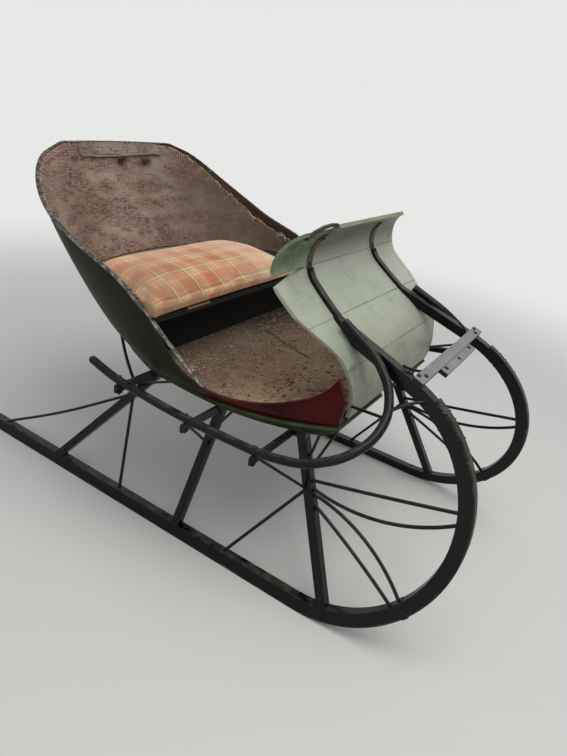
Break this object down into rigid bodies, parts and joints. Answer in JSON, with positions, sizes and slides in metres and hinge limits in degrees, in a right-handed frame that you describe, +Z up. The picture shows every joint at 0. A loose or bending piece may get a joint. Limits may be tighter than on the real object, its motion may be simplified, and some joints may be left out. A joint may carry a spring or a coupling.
{
  "type": "one-horse cutter sleigh",
  "caption": "Light horse-drawn sleigh: round-backed tub with low entry sides and a curled dash on two bent runners with iron-stayed knees, side rails and a draw bar.",
  "frame": {"origin": "on the ground under the middle of the length and width", "axes": "+X ahead, +Y to the sleigh's left, +Z up"},
  "size_m": [1.89, 1.176, 1.1381],
  "materials": {
    "runner_paint": "worn black paint",
    "shoe_steel": "dull, worn",
    "black_iron": "worn black paint",
    "rusty_iron": "rusty",
    "green_paint": "old satin paint",
    "dash_paint": "old satin paint",
    "red_paint": "old satin paint",
    "bare_wood": "dusty bare wood",
    "plaid_cloth": "woven"
  },
  "bodies": {
    "root": {"arm_stays_left": "black_iron", "arm_stays_right": "black_iron", "back_batten": "bare_wood", "back_panel": "green_paint", "beam_front": "runner_paint", "beam_middle": "runner_paint", "beam_rear": "runner_paint", "body_stays_left": "black_iron", "body_stays_right": "black_iron", "corner_irons": "black_iron", "curl_iron_left": "black_iron", "curl_iron_right": "black_iron", "cushion": "plaid_cloth", "dash_bar_left": "black_iron", "dash_bar_right": "black_iron", "dash_board_bottom": "dash_paint", "dash_board_lower": "dash_paint", "dash_board_top": "dash_paint", "dash_board_upper": "dash_paint", "dash_lip": "bare_wood", "dash_strap_left": "rusty_iron", "dash_strap_right": "rusty_iron", "draw_bar": "runner_paint", "draw_plate": "black_iron", "floor": "bare_wood", "floor_bearers": "bare_wood", "front_braces_left": "black_iron", "front_braces_right": "black_iron", "knee_front_left": "runner_paint", "knee_front_right": "runner_paint", "knee_middle_left": "runner_paint", "knee_middle_right": "runner_paint", "knee_rear_left": "runner_paint", "knee_rear_right": "runner_paint", "low_side_left": "red_paint", "low_side_right": "red_paint", "rail_arms_left": "black_iron", "rail_arms_right": "black_iron", "rear_braces_left": "black_iron", "rear_braces_right": "black_iron", "runner_left": "runner_paint", "runner_right": "runner_paint", "seat_board": "bare_wood", "seat_cleats": "bare_wood", "seat_riser": "bare_wood", "shoe_left": "shoe_steel", "shoe_right": "shoe_steel", "side_panel_left": "green_paint", "side_panel_right": "green_paint", "side_rail_left": "runner_paint", "side_rail_right": "runner_paint", "toe_board": "red_paint", "toe_iron_left": "black_iron", "toe_iron_right": "black_iron"}
  },
  "joints": []
}
